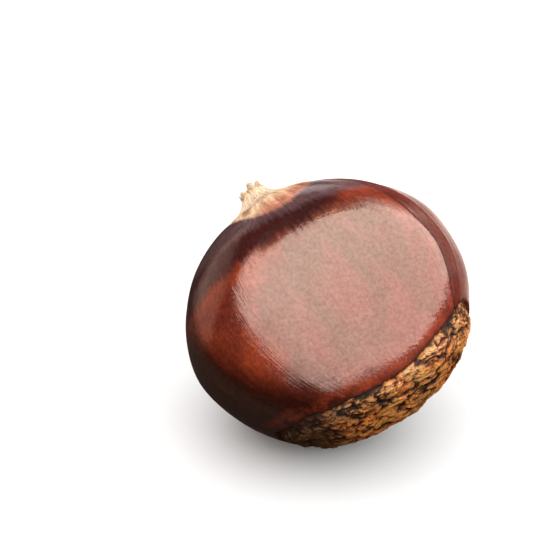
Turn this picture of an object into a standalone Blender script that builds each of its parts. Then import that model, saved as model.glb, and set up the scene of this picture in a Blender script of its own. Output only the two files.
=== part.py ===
"""A whole sweet chestnut in its shell, lying on its domed back with the tip raised.

It is one solid: the smooth shell, the rough scar at its base where it sat in the husk, and the tip,
drawn out to a point with a crown of dried flower remains. Metres, +Z up, resting on z = 0.
"""

import math
import random

import bmesh
import bpy
from mathutils import Matrix, Vector, noise

MM = 0.001

# The nut's own frame: X across its width, from ridge to ridge, Y towards the side that a
# neighbour in the husk pressed flat, Z from the scar at the base to the tip.
HALF_WIDTH = 17.2 * MM
FACE_DEPTH = 8.9 * MM
FACE_SLOPE = 0.2
FACE_CROWN = 1.2 * MM
FACE_EDGE_SOFTNESS = 1.5 * MM
FACE_SIDE_DEPTH = 14.6 * MM
BACK_DEPTH = 16.0 * MM
TIP_REACH = 15.0 * MM
BASE_REACH = 17.0 * MM
TIP_BLUNTNESS = 1.05
BASE_BLUNTNESS = 0.78
SECTION_POWER = 1.8
TIP_LEAN = 0.25 * MM
BASE_LEAN = -0.9 * MM
BACK_LEAN = 2.2 * MM
RIDGE_BULGE = 1.05 * MM
RIDGE_BULGE_AT = -0.9 * MM
RIDGE_BULGE_REACH = 8.8 * MM
LOW_BULGE = 0.38 * MM
LOW_BULGE_REACH = 5.2 * MM

# The shell draws out to the tip in a hollow curve, and ends in a short stub.
TIP_SHIFT = -1.6 * MM
TIP_SHIFT_RADIUS = 6.0 * MM
FLARE_RISE = 1.5 * MM
FLARE_RADIUS = 2.8 * MM
HOLLOW_DEPTH = 0.35 * MM
HOLLOW_AT = 4.8 * MM
HOLLOW_REACH = 1.8 * MM
STUB_RISE = 0.8 * MM
STUB_RADIUS = 1.7 * MM
SPIKES = 11
SPIKE_LENGTH = 1.7 * MM
SPIKE_RADIUS = 0.55 * MM
SPIKE_SIDES = 6
SPIKE_SINK = 1.0 * MM

# The scar is an oval on the rounded base, with a crust about level with the shell round it.
SCAR_HALF_LENGTH = 13.9 * MM
SCAR_FACE_HALF_WIDTH = 8.0 * MM
SCAR_BACK_HALF_WIDTH = 9.0 * MM
SCAR_TWIST = math.radians(8)
SCAR_EDGE_WOBBLE = 0.035
SCAR_LEVEL = -0.10 * MM
SCAR_GROOVE = 0.3 * MM
CRAG_SPACING = 2.3 * MM
CRAG_HEIGHT = 0.4 * MM
SWELL_SPACING = 4.5 * MM
SWELL_HEIGHT = 0.4 * MM

MERIDIANS = 76
SCAR_RINGS = 24
SHELL_RINGS = 28
TIP_CROWDING = 1.6

# How it lies: the base points down to the right, and the flat side looks up and forwards.
VIEW_TILT = math.radians(33)
BASE_SLANT = math.radians(53.5)
BASE_TOWARDS_VIEW = math.radians(20)
ROLL = math.radians(15)
CENTRE = Vector((-0.77 * MM, 0.65 * MM, 16.35 * MM))

SEED = 7


def section(angle, along):
    """Half-width and half-depth of the nut at a latitude, for the meridian at this angle."""
    bluntness = TIP_BLUNTNESS if along > 0 else BASE_BLUNTNESS
    swell = math.cos(along) ** bluntness if abs(along) < math.pi / 2 else 0.0
    side, depth = math.cos(angle), math.sin(angle)
    rounding = (abs(side) ** SECTION_POWER + abs(depth) ** SECTION_POWER) ** (-1 / SECTION_POWER)
    full_depth = FACE_SIDE_DEPTH if depth > 0 else BACK_DEPTH
    return HALF_WIDTH * swell * side * rounding, full_depth * swell * depth * rounding


def pressed(x, y, z):
    """Holds y under the flat side, which is gently crowned, leans in to the base and has a soft edge."""
    off_centre = (x / HALF_WIDTH) ** 2 + (z / BASE_REACH) ** 2
    limit = FACE_DEPTH + FACE_CROWN * (1 - min(off_centre, 1.5)) + FACE_SLOPE * z
    over = (y - limit) / FACE_EDGE_SOFTNESS
    return y - FACE_EDGE_SOFTNESS * (math.log1p(math.exp(-abs(over))) + max(over, 0.0))


def form(angle, along):
    """A point of the smooth nut, at an angle round its axis and a latitude from base to tip."""
    x, y = section(angle, along)
    z = (TIP_REACH if along > 0 else BASE_REACH) * math.sin(along)
    y = pressed(x, y, z)
    tipward, baseward = max(z / TIP_REACH, 0.0), max(-z / BASE_REACH, 0.0)
    x += BACK_LEAN * max(-y / BACK_DEPTH, 0.0)
    high_bulge = RIDGE_BULGE * math.exp(-(((z - RIDGE_BULGE_AT) / RIDGE_BULGE_REACH) ** 4))
    low_bulge = LOW_BULGE * math.exp(-((z / LOW_BULGE_REACH) ** 2))
    x += (low_bulge if x > 0 else -high_bulge) * (x / HALF_WIDTH) ** 2
    off_tip = math.hypot(x, y)
    x += TIP_LEAN * tipward**2 + BASE_LEAN * baseward**2
    if along > 0:
        x += TIP_SHIFT * math.exp(-((off_tip / TIP_SHIFT_RADIUS) ** 2))
        z += FLARE_RISE * math.exp(-((off_tip / FLARE_RADIUS) ** 2))
        z += STUB_RISE * math.exp(-((off_tip / STUB_RADIUS) ** 4))
        z -= HOLLOW_DEPTH * math.exp(-(((off_tip - HOLLOW_AT) / HOLLOW_REACH) ** 2))
    return Vector((x, y, z))


def scar_edge(angle):
    """The latitude where the scar meets the shell on this meridian."""
    x, y = section(angle, 0.0)
    lengthways = x * math.cos(SCAR_TWIST) - y * math.sin(SCAR_TWIST)
    sideways = x * math.sin(SCAR_TWIST) + y * math.cos(SCAR_TWIST)
    half_width = SCAR_FACE_HALF_WIDTH if sideways > 0 else SCAR_BACK_HALF_WIDTH
    wobble = SCAR_EDGE_WOBBLE * noise.noise(Vector((math.cos(angle), math.sin(angle), 0.0)) * 3.0)
    swell = (1 + wobble) / math.hypot(lengthways / SCAR_HALF_LENGTH, sideways / half_width)
    return -math.acos(min(swell, 1.0) ** (1 / BASE_BLUNTNESS))


def crag(point):
    """Height of the scar's crust at a point: round grains between creases, on a slower swell."""
    to_grain = noise.voronoi(point / CRAG_SPACING)[0][0]
    swell = noise.noise(point / SWELL_SPACING)
    return CRAG_HEIGHT * (0.35 - to_grain**2) + SWELL_HEIGHT * swell


def scar_point(angle, share):
    """A point of the scar, from the middle of the base (0) to its edge (1)."""
    along = -math.pi / 2 + (scar_edge(angle) + math.pi / 2) * share
    smooth = form(angle, along)
    inside = min(1.0, 5.0 * (1.0 - share))
    at_edge = max(0.0, 8.0 * share - 7.0)
    rise = (SCAR_LEVEL + crag(smooth)) * inside - SCAR_GROOVE * at_edge
    return smooth + smooth.normalized() * rise


def shell_point(angle, share):
    """A point of the shell, from the scar's edge (0) to the tip (1), with rings crowded at the tip."""
    edge = scar_edge(angle)
    return form(angle, math.pi / 2 - (math.pi / 2 - edge) * (1.0 - share) ** TIP_CROWDING)


def ring(bm, point_at, share):
    """One ring of vertices round the nut's axis."""
    angles = (2 * math.pi * i / MERIDIANS for i in range(MERIDIANS))
    return [bm.verts.new(point_at(angle, share)) for angle in angles]


def bridge(bm, lower, upper):
    """Quads between two rings."""
    for i in range(MERIDIANS):
        j = (i + 1) % MERIDIANS
        bm.faces.new((lower[i], lower[j], upper[j], upper[i]))


def cap(bm, edge_ring, point, faces_down):
    """A fan from a ring to a pole."""
    pole = bm.verts.new(point)
    for i in range(MERIDIANS):
        a, b = edge_ring[i], edge_ring[(i + 1) % MERIDIANS]
        bm.faces.new((pole, b, a) if faces_down else (pole, a, b))


def nut_mesh():
    """The closed surface: the scar's rings, then the shell's, up to the tip."""
    bm = bmesh.new()
    rings = [ring(bm, scar_point, k / SCAR_RINGS) for k in range(1, SCAR_RINGS)]
    rings += [ring(bm, shell_point, k / SHELL_RINGS) for k in range(SHELL_RINGS)]
    for lower, upper in zip(rings, rings[1:]):
        bridge(bm, lower, upper)
    cap(bm, rings[0], scar_point(0.0, 0.0), faces_down=True)
    cap(bm, rings[-1], form(0.0, math.pi / 2), faces_down=False)
    bmesh.ops.triangulate(bm, faces=bm.faces[:])
    mesh = bpy.data.meshes.new("chestnut")
    bm.to_mesh(mesh)
    bm.free()
    return mesh


def lying():
    """From the nut's own frame to how it lies."""
    right = Vector((1.0, 0.0, 0.0))
    up = Vector((0.0, math.sin(VIEW_TILT), math.cos(VIEW_TILT)))
    to_viewer = Vector((0.0, -math.cos(VIEW_TILT), math.sin(VIEW_TILT)))
    slant_down = math.cos(BASE_SLANT) * right - math.sin(BASE_SLANT) * up
    across = -math.sin(BASE_SLANT) * right - math.cos(BASE_SLANT) * up
    base = math.cos(BASE_TOWARDS_VIEW) * slant_down + math.sin(BASE_TOWARDS_VIEW) * to_viewer
    face = math.cos(BASE_TOWARDS_VIEW) * to_viewer - math.sin(BASE_TOWARDS_VIEW) * slant_down
    width = math.cos(ROLL) * across + math.sin(ROLL) * face
    depth = math.cos(ROLL) * face - math.sin(ROLL) * across
    turned = Matrix((width, depth, -base)).transposed().to_4x4()
    return Matrix.Translation(CENTRE) @ turned


def spike_mesh(length, radius):
    """A dried style: a thin tapered spike standing on its base, with a blunt end."""
    bm = bmesh.new()
    bmesh.ops.create_cone(
        bm,
        cap_ends=True,
        segments=SPIKE_SIDES,
        radius1=radius,
        radius2=radius * 0.3,
        depth=length,
        matrix=Matrix.Translation((0.0, 0.0, length / 2)),
    )
    bmesh.ops.triangulate(bm, faces=bm.faces[:])
    mesh = bpy.data.meshes.new("spike")
    bm.to_mesh(mesh)
    bm.free()
    return mesh


def crown_of_spikes(placing):
    """A collection of spikes that lean out round the stub, to be joined to the nut."""
    draw = random.Random(SEED)
    crown = bpy.data.collections.new("crown")
    bpy.context.scene.collection.children.link(crown)
    top = form(0.0, math.pi / 2)
    for i in range(SPIKES):
        angle = 2 * math.pi * (i + draw.uniform(-0.25, 0.25)) / SPIKES
        lean = math.radians(draw.uniform(12, 42))
        off = STUB_RADIUS * draw.uniform(0.25, 0.75)
        foot = top + Vector((off * math.cos(angle), off * math.sin(angle), -SPIKE_SINK))
        radius = SPIKE_RADIUS * draw.uniform(0.8, 1.15)
        spike = bpy.data.objects.new("spike", spike_mesh(SPIKE_LENGTH * draw.uniform(0.75, 1.1), radius))
        turn = Matrix.Rotation(angle, 4, "Z") @ Matrix.Rotation(lean, 4, "Y")
        spike.matrix_world = placing @ Matrix.Translation(foot) @ turn
        crown.objects.link(spike)
    return crown


def join_crown(nut, crown):
    """One union of the nut and its spikes."""
    union = nut.modifiers.new("crown", "BOOLEAN")
    union.operation = "UNION"
    union.operand_type = "COLLECTION"
    union.collection = crown
    bpy.context.view_layer.objects.active = nut
    bpy.ops.object.modifier_apply(modifier=union.name)
    for spike in list(crown.objects):
        bpy.data.objects.remove(spike)
    bpy.data.collections.remove(crown)


def flatten_rest(nut):
    """Cuts the nut off at z = 0, so that it stands on a small flat spot."""
    bm = bmesh.new()
    bm.from_mesh(nut.data)
    bmesh.ops.transform(bm, matrix=nut.matrix_world, verts=bm.verts)
    cut = bmesh.ops.bisect_plane(
        bm,
        geom=bm.verts[:] + bm.edges[:] + bm.faces[:],
        plane_co=(0.0, 0.0, 0.0),
        plane_no=(0.0, 0.0, -1.0),
        clear_outer=True,
        dist=1e-7,
    )
    rim = [e for e in cut["geom_cut"] if isinstance(e, bmesh.types.BMEdge)]
    bmesh.ops.edgeloop_fill(bm, edges=rim)
    bmesh.ops.recalc_face_normals(bm, faces=bm.faces)
    bmesh.ops.triangulate(bm, faces=[f for f in bm.faces if len(f.verts) > 3])
    bmesh.ops.transform(bm, matrix=nut.matrix_world.inverted(), verts=bm.verts)
    bm.to_mesh(nut.data)
    bm.free()


def shell_material():
    """Glossy dark red-brown."""
    material = bpy.data.materials.new("shell")
    material.use_nodes = True
    surface = material.node_tree.nodes["Principled BSDF"]
    surface.inputs["Base Color"].default_value = (0.105, 0.018, 0.008, 1.0)
    surface.inputs["Roughness"].default_value = 0.28
    surface.inputs["Metallic"].default_value = 0.0
    return material


def main():
    for obj in list(bpy.data.objects):
        bpy.data.objects.remove(obj)
    nut = bpy.data.objects.new("chestnut", nut_mesh())
    bpy.context.scene.collection.objects.link(nut)
    nut.matrix_world = lying()
    bpy.context.view_layer.update()
    join_crown(nut, crown_of_spikes(lying()))
    flatten_rest(nut)
    nut.data.materials.append(shell_material())
    nut.data.shade_smooth()


main()
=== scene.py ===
"""The looks of a whole sweet chestnut: its glossy shell, the crust of its scar and the tuft at its tip.

Lengths are in metres. The nut's own frame has X across its width, Y towards the side that a neighbour in
the husk pressed flat, and Z from the scar at the base to the tip.
"""

import math
from types import SimpleNamespace

import bmesh
import bpy
import numpy as np
from mathutils import Matrix, Vector, noise


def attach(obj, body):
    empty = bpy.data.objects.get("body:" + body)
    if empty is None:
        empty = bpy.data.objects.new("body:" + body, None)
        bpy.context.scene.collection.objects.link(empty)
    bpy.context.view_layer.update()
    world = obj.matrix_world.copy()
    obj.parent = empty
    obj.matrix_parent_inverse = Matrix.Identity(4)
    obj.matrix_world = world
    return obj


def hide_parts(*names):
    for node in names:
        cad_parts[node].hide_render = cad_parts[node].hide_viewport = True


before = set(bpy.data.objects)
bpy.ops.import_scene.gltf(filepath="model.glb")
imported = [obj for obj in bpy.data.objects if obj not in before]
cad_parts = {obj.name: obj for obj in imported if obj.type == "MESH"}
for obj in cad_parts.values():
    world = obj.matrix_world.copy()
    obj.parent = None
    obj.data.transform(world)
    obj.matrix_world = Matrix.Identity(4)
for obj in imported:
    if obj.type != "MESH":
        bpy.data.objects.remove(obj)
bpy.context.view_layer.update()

MM = 0.001
NODE = "chestnut"
BODY = "root"

# The nut's form, as the solid has it.
HALF_WIDTH = 17.2 * MM
FACE_DEPTH = 8.9 * MM
FACE_SLOPE = 0.2
FACE_CROWN = 1.2 * MM
FACE_EDGE_SOFTNESS = 1.5 * MM
FACE_SIDE_DEPTH = 14.6 * MM
BACK_DEPTH = 16.0 * MM
TIP_REACH = 15.0 * MM
BASE_REACH = 17.0 * MM
TIP_BLUNTNESS = 1.05
BASE_BLUNTNESS = 0.78
SECTION_POWER = 1.8
TIP_LEAN = 0.25 * MM
BASE_LEAN = -0.9 * MM
BACK_LEAN = 2.2 * MM
RIDGE_BULGE = 1.05 * MM
RIDGE_BULGE_AT = -0.9 * MM
RIDGE_BULGE_REACH = 8.8 * MM
LOW_BULGE = 0.38 * MM
LOW_BULGE_REACH = 5.2 * MM
TIP_SHIFT = -1.6 * MM
TIP_SHIFT_RADIUS = 6.0 * MM
FLARE_RISE = 1.5 * MM
FLARE_RADIUS = 2.8 * MM
HOLLOW_DEPTH = 0.35 * MM
HOLLOW_AT = 4.8 * MM
HOLLOW_REACH = 1.8 * MM
STUB_RISE = 0.8 * MM
STUB_RADIUS = 1.7 * MM
SCAR_HALF_LENGTH = 13.9 * MM
SCAR_FACE_HALF_WIDTH = 8.0 * MM
SCAR_BACK_HALF_WIDTH = 9.0 * MM
SCAR_TWIST = math.radians(8)
SCAR_EDGE_WOBBLE = 0.035
SCAR_WOBBLES_ROUND = 3.0

# How it lies, and from where the photograph sees it.
VIEW_TILT = math.radians(33)
BASE_SLANT = math.radians(53.5)
BASE_TOWARDS_VIEW = math.radians(20)
ROLL = math.radians(15)
CENTRE = Vector((-0.77 * MM, 0.65 * MM, 16.35 * MM))

# The photograph's frame: its side in pixels, a pixel's size at the nut, and where the nut's centre shows.
PHOTO_SIDE = 550
PIXEL = 0.1222 * MM
CENTRE_PIXEL = (321.2, 302.8)
CAMERA_DISTANCE = 0.5
SENSOR = 36.0

SEED = 7
FULL_TURN = 2 * math.pi


def smooth_step(x, low, high):
    """0 below low, 1 above high, and a smooth rise between."""
    t = np.clip((x - low) / (high - low), 0.0, 1.0)
    return t * t * (3 - 2 * t)


def unit(vectors):
    """Vectors made one long."""
    return vectors / np.maximum(np.linalg.norm(vectors, axis=-1, keepdims=True), 1e-12)


def spoke(angle, along=0.0):
    """Points one unit off the nut's axis, at angles round it and at a place along it."""
    return np.stack([np.cos(angle), np.sin(angle), along + np.zeros_like(angle)], -1)


def sample(measure, points):
    """A noise read at every point of an array."""
    flat = points.reshape(-1, 3)
    return np.array([measure(Vector(p)) for p in flat]).reshape(points.shape[:-1])


# The form, which all the pieces share.


def section(angle, along):
    """Half-width and half-depth of the nut at a latitude, for the meridian at this angle."""
    bluntness = np.where(along > 0, TIP_BLUNTNESS, BASE_BLUNTNESS)
    swell = np.maximum(np.cos(along), 1e-9) ** bluntness
    side, depth = np.cos(angle), np.sin(angle)
    power = SECTION_POWER
    rounding = (np.abs(side) ** power + np.abs(depth) ** power) ** (-1 / power)
    full_depth = np.where(depth > 0, FACE_SIDE_DEPTH, BACK_DEPTH)
    return HALF_WIDTH * swell * side * rounding, full_depth * swell * depth * rounding


def pressed(x, y, z):
    """Holds y under the flat side, which is gently crowned, leans in to the base and has a soft edge."""
    off_centre = (x / HALF_WIDTH) ** 2 + (z / BASE_REACH) ** 2
    limit = FACE_DEPTH + FACE_CROWN * (1 - np.minimum(off_centre, 1.5)) + FACE_SLOPE * z
    return y - FACE_EDGE_SOFTNESS * np.logaddexp(0.0, (y - limit) / FACE_EDGE_SOFTNESS)


def form(angle, along):
    """Points of the smooth nut, at angles round its axis and latitudes from base to tip."""
    x, y = section(angle, along)
    z = np.where(along > 0, TIP_REACH, BASE_REACH) * np.sin(along)
    y = pressed(x, y, z)
    tipward, baseward = np.maximum(z / TIP_REACH, 0.0), np.maximum(-z / BASE_REACH, 0.0)
    x = x + BACK_LEAN * np.maximum(-y / BACK_DEPTH, 0.0)
    high_bulge = RIDGE_BULGE * np.exp(-(((z - RIDGE_BULGE_AT) / RIDGE_BULGE_REACH) ** 4))
    low_bulge = LOW_BULGE * np.exp(-((z / LOW_BULGE_REACH) ** 2))
    x = x + np.where(x > 0, low_bulge, -high_bulge) * (x / HALF_WIDTH) ** 2
    off_tip = np.hypot(x, y)
    x = x + TIP_LEAN * tipward**2 + BASE_LEAN * baseward**2
    tip_side = along > 0
    x = x + np.where(tip_side, TIP_SHIFT * np.exp(-((off_tip / TIP_SHIFT_RADIUS) ** 2)), 0.0)
    rise = FLARE_RISE * np.exp(-((off_tip / FLARE_RADIUS) ** 2))
    rise = rise + STUB_RISE * np.exp(-((off_tip / STUB_RADIUS) ** 4))
    rise = rise - HOLLOW_DEPTH * np.exp(-(((off_tip - HOLLOW_AT) / HOLLOW_REACH) ** 2))
    z = z + np.where(tip_side, rise, 0.0)
    return np.stack([x, y, z], -1)


def tip_top():
    """The middle of the stub's top."""
    return form(np.zeros(1), np.full(1, math.pi / 2))[0]


def scar_edge(angle):
    """The latitude where the scar meets the shell on each meridian."""
    x, y = section(angle, np.zeros_like(angle))
    lengthways = x * math.cos(SCAR_TWIST) - y * math.sin(SCAR_TWIST)
    sideways = x * math.sin(SCAR_TWIST) + y * math.cos(SCAR_TWIST)
    half_width = np.where(sideways > 0, SCAR_FACE_HALF_WIDTH, SCAR_BACK_HALF_WIDTH)
    wobble = SCAR_EDGE_WOBBLE * sample(noise.noise, spoke(angle) * SCAR_WOBBLES_ROUND)
    swell = (1 + wobble) / np.hypot(lengthways / SCAR_HALF_LENGTH, sideways / half_width)
    return -np.arccos(np.minimum(swell, 1.0) ** (1 / BASE_BLUNTNESS))


def normals(points):
    """Outward unit normals of a grid of points whose rows are closed rings."""
    across = np.roll(points, -1, 1) - np.roll(points, 1, 1)
    up = np.gradient(points, axis=0)
    return unit(np.cross(across, up))


def view_axes():
    """The photograph's right, its up, and the way back to the camera."""
    right = Vector((1.0, 0.0, 0.0))
    up = Vector((0.0, math.sin(VIEW_TILT), math.cos(VIEW_TILT)))
    back = Vector((0.0, -math.cos(VIEW_TILT), math.sin(VIEW_TILT)))
    return right, up, back


def lying():
    """From the nut's own frame to how it lies."""
    right, up, back = view_axes()
    slant_down = math.cos(BASE_SLANT) * right - math.sin(BASE_SLANT) * up
    across = -math.sin(BASE_SLANT) * right - math.cos(BASE_SLANT) * up
    base = math.cos(BASE_TOWARDS_VIEW) * slant_down + math.sin(BASE_TOWARDS_VIEW) * back
    face = math.cos(BASE_TOWARDS_VIEW) * back - math.sin(BASE_TOWARDS_VIEW) * slant_down
    width = math.cos(ROLL) * across + math.sin(ROLL) * face
    depth = math.cos(ROLL) * face - math.sin(ROLL) * across
    turned = Matrix((width, depth, -base)).transposed().to_4x4()
    return Matrix.Translation(CENTRE) @ turned


TURN = np.array(lying().to_3x3())


def placed(points):
    """Points of the nut's own frame, where the nut lies."""
    return points @ TURN.T + np.array(CENTRE)


# Meshes.


def mesh_of(name, points, faces):
    """A smooth mesh from an array of points and one of faces with the same number of corners."""
    mesh = bpy.data.meshes.new(name)
    corners = faces.shape[1]
    mesh.vertices.add(len(points))
    mesh.vertices.foreach_set("co", points.astype(np.float32).ravel())
    mesh.loops.add(faces.size)
    mesh.loops.foreach_set("vertex_index", faces.astype(np.int32).ravel())
    mesh.polygons.add(len(faces))
    mesh.polygons.foreach_set("loop_start", np.arange(0, faces.size, corners, dtype=np.int32))
    mesh.update(calc_edges=True)
    mesh.shade_smooth()
    return mesh


def grid_faces(rows, columns, wraps):
    """Quads over a grid of rows and columns of vertices; the rows may close on themselves."""
    across = columns if wraps else columns - 1
    row, column = np.meshgrid(np.arange(rows - 1), np.arange(across), indexing="ij")
    following = (column + 1) % columns
    lower, upper = row * columns, (row + 1) * columns
    corners = (lower + column, lower + following, upper + following, upper + column)
    return np.stack(corners, -1).reshape(-1, 4)


def store(mesh, name, values):
    """Keeps a number or a vector for each vertex, for the materials to read."""
    vector = values.ndim == 2
    attribute = mesh.attributes.new(name, "FLOAT_VECTOR" if vector else "FLOAT", "POINT")
    attribute.data.foreach_set("vector" if vector else "value", values.astype(np.float32).ravel())


def add_object(name, data):
    """An object in the scene."""
    made = bpy.data.objects.new(name, data)
    bpy.context.scene.collection.objects.link(made)
    return made


def add_piece(mesh, material):
    """A piece of the nut that rides with it and stands for its solid."""
    piece = add_object(mesh.name, mesh)
    mesh.materials.append(material)
    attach(piece, BODY)
    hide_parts(NODE)


# The shell: many narrow meridians, because its relief is fine lines from base to tip.
MERIDIANS = 640
SHELL_ROWS = 138
TIP_CROWDING = 1.6
LIP_ROWS = 4
LIP_DEPTH = 0.5 * MM
LINE_RELIEF = 0.006 * MM
LINES_ROUND = 30.0
LINES_ALONG = 0.12
RIB_RELIEF = 0.035 * MM
RIBS_ROUND = 6.0
RIBS_ALONG = 0.5
UNEVENNESS = 0.10 * MM
UNEVEN_SPACING = 6.0 * MM
# The shares of the way over which the relief fades out, counted from the scar and from the tip.
FADE_AT_SCAR = (0.0, 0.06)
FADE_AT_TIP = (0.02, 0.25)
EDGE_RAGGED = 0.032
EDGE_TEETH_ROUND = 22.0
EDGE_TEETH_SLANT = 0.3
# Lines beside the ridge: where the first runs near the tip and near the scar, as angles round the axis.
RIDGE_START = math.radians(141.2)
RIDGE_TURN = math.radians(5.3)
RIDGE_FROM = 2.5 * MM
RIDGE_TO = -4.5 * MM
GROOVE_AT = math.radians(1.2)
GROOVE_HALF_WIDTH = math.radians(1.1)
GROOVE_DEPTH = 0.08 * MM
WELT_AT = math.radians(8.5)
WELT_HALF_WIDTH = math.radians(2.8)
WELT_HEIGHT = 0.12 * MM
# What the tip's own vertex stores: degrees that are clear of the ridge's lines, and millimetres that are
# far from the scar.
PAST_AT_TIP = 90.0
FROM_SCAR_AT_TIP = 30.0


def past_ridge(angle, z):
    """How far round the axis a point lies past the first of the ridge's lines."""
    return angle - RIDGE_START - RIDGE_TURN * smooth_step(-z, -RIDGE_FROM, -RIDGE_TO)


def shell_relief(angle, share, points, past):
    """Height of the shell's fine lines, its broad ribs, its unevenness and the ridge's lines."""
    lines = sample(noise.noise, spoke(angle, share * LINES_ALONG) * LINES_ROUND)
    ribs = sample(noise.noise, spoke(angle, share * RIBS_ALONG) * RIBS_ROUND)
    uneven = sample(noise.noise, points / UNEVEN_SPACING)
    fade = smooth_step(share, *FADE_AT_SCAR) * smooth_step(1.0 - share, *FADE_AT_TIP)
    welt = WELT_HEIGHT * np.exp(-(((past - WELT_AT) / WELT_HALF_WIDTH) ** 2))
    groove = GROOVE_DEPTH * np.exp(-(((past - GROOVE_AT) / GROOVE_HALF_WIDTH) ** 2))
    return LINE_RELIEF * lines + fade * (RIB_RELIEF * ribs + UNEVENNESS * uneven + welt - groove)


def shell_grid():
    """The smooth shell's points, with their angles round the axis and shares of the way to the tip."""
    round_axis = np.linspace(0, FULL_TURN, MERIDIANS, endpoint=False)
    share, angle = np.meshgrid(np.arange(SHELL_ROWS) / SHELL_ROWS, round_axis, indexing="ij")
    ragged = sample(noise.noise, spoke(round_axis, EDGE_TEETH_SLANT * round_axis) * EDGE_TEETH_ROUND)
    edge = scar_edge(round_axis) + EDGE_RAGGED * np.abs(ragged)
    along = math.pi / 2 - (math.pi / 2 - edge) * (1.0 - share) ** TIP_CROWDING
    return form(angle, along), angle, share


def with_lip(grid):
    """A value of each vertex, its first row repeated for the rows of the lip."""
    return np.concatenate([np.tile(grid[0], (LIP_ROWS, 1)), grid])


def shell_mesh():
    """The shell from its lip under the scar's edge to the tip."""
    smooth, angle, share = shell_grid()
    normal = normals(smooth)
    past = past_ridge(angle, smooth[..., 2])
    points = smooth + normal * shell_relief(angle, share, smooth, past)[..., None]
    depth = np.linspace(1.0, 0.0, LIP_ROWS, endpoint=False)[:, None, None]
    points = np.concatenate([points[0] - normal[0] * depth * LIP_DEPTH, points])
    flat = np.concatenate([points.reshape(-1, 3), [tip_top()]])
    world = placed(flat)
    world[:, 2] = np.maximum(world[:, 2], 0.0)
    mesh = mesh_of("shell", world, grid_faces(len(points), MERIDIANS, wraps=True))
    close_tip(mesh, len(points))
    track = spoke(with_lip(angle), with_lip(share)).reshape(-1, 3)
    store(mesh, "track", np.concatenate([track, [[1.0, 0.0, 1.0]]]))
    store(mesh, "past_ridge", np.append(np.degrees(with_lip(past)), PAST_AT_TIP))
    store(mesh, "nut", flat / MM)
    from_scar = np.linalg.norm(points - points[LIP_ROWS], axis=-1)
    store(mesh, "from_scar", np.append(from_scar / MM, FROM_SCAR_AT_TIP))
    return mesh


def close_tip(mesh, rows):
    """A fan of triangles from the last row to the tip's own vertex, which is the mesh's last."""
    bm = bmesh.new()
    bm.from_mesh(mesh)
    bm.verts.ensure_lookup_table()
    first, tip = (rows - 1) * MERIDIANS, bm.verts[rows * MERIDIANS]
    for i in range(MERIDIANS):
        bm.faces.new((bm.verts[first + i], bm.verts[first + (i + 1) % MERIDIANS], tip)).smooth = True
    bm.to_mesh(mesh)
    bm.free()


# The scar's crust.
CRUST_SIDE = 300
CRUST_BORDER = 0.09
SCAR_LEVEL = -0.10 * MM
SCAR_TUCK = 0.4 * MM
CRAG_SPACING = 2.3 * MM
CRAG_HEIGHT = 0.4 * MM
CRAG_MIDDLE = 0.35
SWELL_SPACING = 4.5 * MM
SWELL_HEIGHT = 0.4 * MM
# Each finer layer of the crust: how far apart its creases are, and how high its lumps stand.
CRUST_LAYERS = ((1.7 * MM, 0.20 * MM), (0.78 * MM, 0.20 * MM), (0.36 * MM, 0.13 * MM))
CREASE_SHARPNESS = 3.2
CRUST_STRETCH = 0.32
CRUST_WARP_SPACING = 1.6 * MM
CRUST_WARP = 0.55 * MM
CRUST_WARP_OFFSETS = (0.0, 31.7, 57.3)


def to_disc(side):
    """A square grid of vertices spread evenly over a disc, as angle and share of the radius."""
    step = np.linspace(-1.0, 1.0, side)
    v, u = np.meshgrid(step, step, indexing="ij")
    wide = np.abs(u) > np.abs(v)
    reach = np.where(wide, u, v)
    safe = np.where(np.abs(reach) < 1e-9, 1e-9, reach)
    turn = np.where(wide, math.pi / 4 * v / safe, math.pi / 2 - math.pi / 4 * u / safe)
    angle = turn + np.where(reach < 0, math.pi, 0.0)
    return angle, np.abs(reach)


def crust_crags(p):
    """Height of the crust's crags and swell at a point."""
    point = Vector(p)
    to_grain = noise.voronoi(point / CRAG_SPACING)[0][0]
    return CRAG_HEIGHT * (CRAG_MIDDLE - to_grain**2) + SWELL_HEIGHT * noise.noise(point / SWELL_SPACING)


def crust_flakes(p):
    """Height of the finer lumps at a point, longer along the scar, with creases between."""
    bend = Vector(p) / CRUST_WARP_SPACING
    warp = Vector([noise.noise(bend + Vector((away, 0.0, 0.0))) for away in CRUST_WARP_OFFSETS])
    bent = Vector(p) + warp * CRUST_WARP
    bent.x *= CRUST_STRETCH
    height = 0.0
    for spacing, lump in CRUST_LAYERS:
        height += lump * (min(abs(noise.noise(bent / spacing)) * CREASE_SHARPNESS, 1.0) - 0.5)
    return height


def crust_mesh():
    """The scar's crust, tucked under the shell's lip at its edge."""
    angle, share = to_disc(CRUST_SIDE)
    along = -math.pi / 2 + (scar_edge(angle) + math.pi / 2) * share ** (1 / BASE_BLUNTNESS)
    smooth = form(angle, along)
    flakes = sample(crust_flakes, smooth)
    inside = smooth_step(1.0 - share, 0.0, CRUST_BORDER)
    height = (SCAR_LEVEL + sample(crust_crags, smooth) + flakes) * inside - SCAR_TUCK * (1.0 - inside)
    points = (smooth + unit(smooth) * height[..., None]).reshape(-1, 3)
    mesh = mesh_of("crust", placed(points), grid_faces(CRUST_SIDE, CRUST_SIDE, wraps=False))
    store(mesh, "relief", flakes.ravel() / MM)
    store(mesh, "from_edge", ((1.0 - share) * SCAR_FACE_HALF_WIDTH).ravel() / MM)
    store(mesh, "nut", points / MM)
    return mesh


# The tuft: dry strands that climb the flare and end ragged over the tip, broken-off styles and loose
# fibres among them, and down.
AXIS = np.array([0.0, 0.0, 1.0])
SIDEWAYS = np.array([1.0, 0.0, 0.0])
NUDGE = 0.01
# The tuft's tall side, as an angle round the axis, and how much longer its strands are.
TALL_SIDE = math.radians(175)
TALL_BY = 0.30 * MM


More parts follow.
